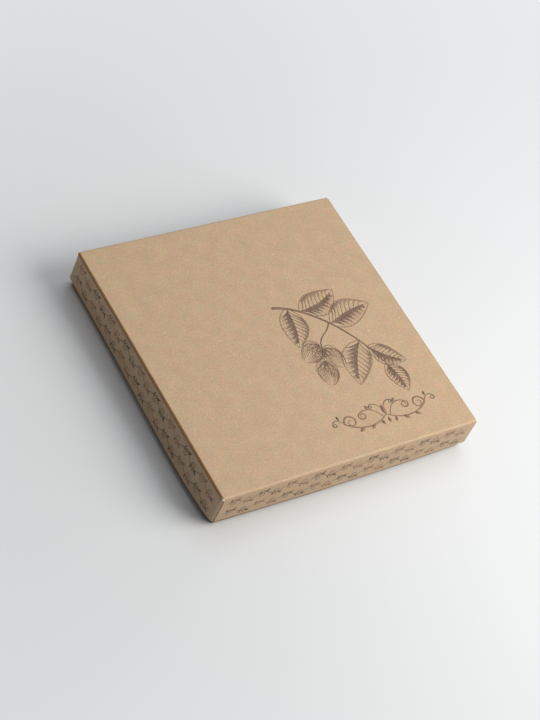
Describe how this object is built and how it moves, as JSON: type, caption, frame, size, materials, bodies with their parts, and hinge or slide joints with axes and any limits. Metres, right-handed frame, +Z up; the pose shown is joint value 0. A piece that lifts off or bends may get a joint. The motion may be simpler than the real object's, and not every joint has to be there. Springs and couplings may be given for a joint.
{
  "type": "box of chocolates",
  "caption": "Flat square kraft-board box of chocolates: a lift-off lid over a folded base tray, with a slotted card divider grid and assorted chocolates in pleated paper cups.",
  "frame": {"origin": "centre of the base tray's underside, on the surface that the box stands on", "axes": "+Z up, the way the lid lifts off; -Y is the front wall, one of the two walls whose cut ends cover the corner tabs; +X is to the right, seen from the front"},
  "size_m": [0.205, 0.205, 0.0311],
  "materials": {
    "kraft_board": "matte",
    "cup_paper": "satin",
    "divider_card": "matte",
    "dark_chocolate": "satin",
    "milk_chocolate": "satin",
    "cocoa_powder": "matte",
    "nut_chocolate": "satin",
    "white_chocolate": "satin"
  },
  "bodies": {
    "base": {"base_tray": "kraft_board", "cocoa_truffle_13": "cocoa_powder", "cocoa_truffle_21": "cocoa_powder", "cocoa_truffle_34": "cocoa_powder", "cocoa_truffle_42": "cocoa_powder", "cocoa_truffle_55": "cocoa_powder", "dark_square_11": "dark_chocolate", "dark_square_24": "dark_chocolate", "dark_square_32": "dark_chocolate", "dark_square_45": "dark_chocolate", "dark_square_53": "dark_chocolate", "hazelnut_round_14": "nut_chocolate", "hazelnut_round_22": "nut_chocolate", "hazelnut_round_35": "nut_chocolate", "hazelnut_round_43": "nut_chocolate", "hazelnut_round_51": "nut_chocolate", "milk_dome_12": "milk_chocolate", "milk_dome_25": "milk_chocolate", "milk_dome_33": "milk_chocolate", "milk_dome_41": "milk_chocolate", "milk_dome_54": "milk_chocolate", "paper_cup_11": "cup_paper", "paper_cup_12": "cup_paper", "paper_cup_13": "cup_paper", "paper_cup_14": "cup_paper", "paper_cup_15": "cup_paper", "paper_cup_21": "cup_paper", "paper_cup_22": "cup_paper", "paper_cup_23": "cup_paper", "paper_cup_24": "cup_paper", "paper_cup_25": "cup_paper", "paper_cup_31": "cup_paper", "paper_cup_32": "cup_paper", "paper_cup_33": "cup_paper", "paper_cup_34": "cup_paper", "paper_cup_35": "cup_paper", "paper_cup_41": "cup_paper", "paper_cup_42": "cup_paper", "paper_cup_43": "cup_paper", "paper_cup_44": "cup_paper", "paper_cup_45": "cup_paper", "paper_cup_51": "cup_paper", "paper_cup_52": "cup_paper", "paper_cup_53": "cup_paper", "paper_cup_54": "cup_paper", "paper_cup_55": "cup_paper", "white_heart_15": "white_chocolate", "white_heart_23": "white_chocolate", "white_heart_31": "white_chocolate", "white_heart_44": "white_chocolate", "white_heart_52": "white_chocolate"},
    "divider_grid": {"cross_divider_1": "divider_card", "cross_divider_2": "divider_card", "cross_divider_3": "divider_card", "cross_divider_4": "divider_card", "row_divider_1": "divider_card", "row_divider_2": "divider_card", "row_divider_3": "divider_card", "row_divider_4": "divider_card"},
    "lid": {"lid": "kraft_board"}
  },
  "joints": [
    {"name": "divider_grid_lift", "type": "slide", "parent": "base", "child": "divider_grid", "axis": [0, 0, 1], "range_m": [0, 0.045]},
    {"name": "lid_lift", "type": "slide", "parent": "divider_grid", "child": "lid", "axis": [0, 0, 1], "range_m": [0, 0.12]}
  ]
}
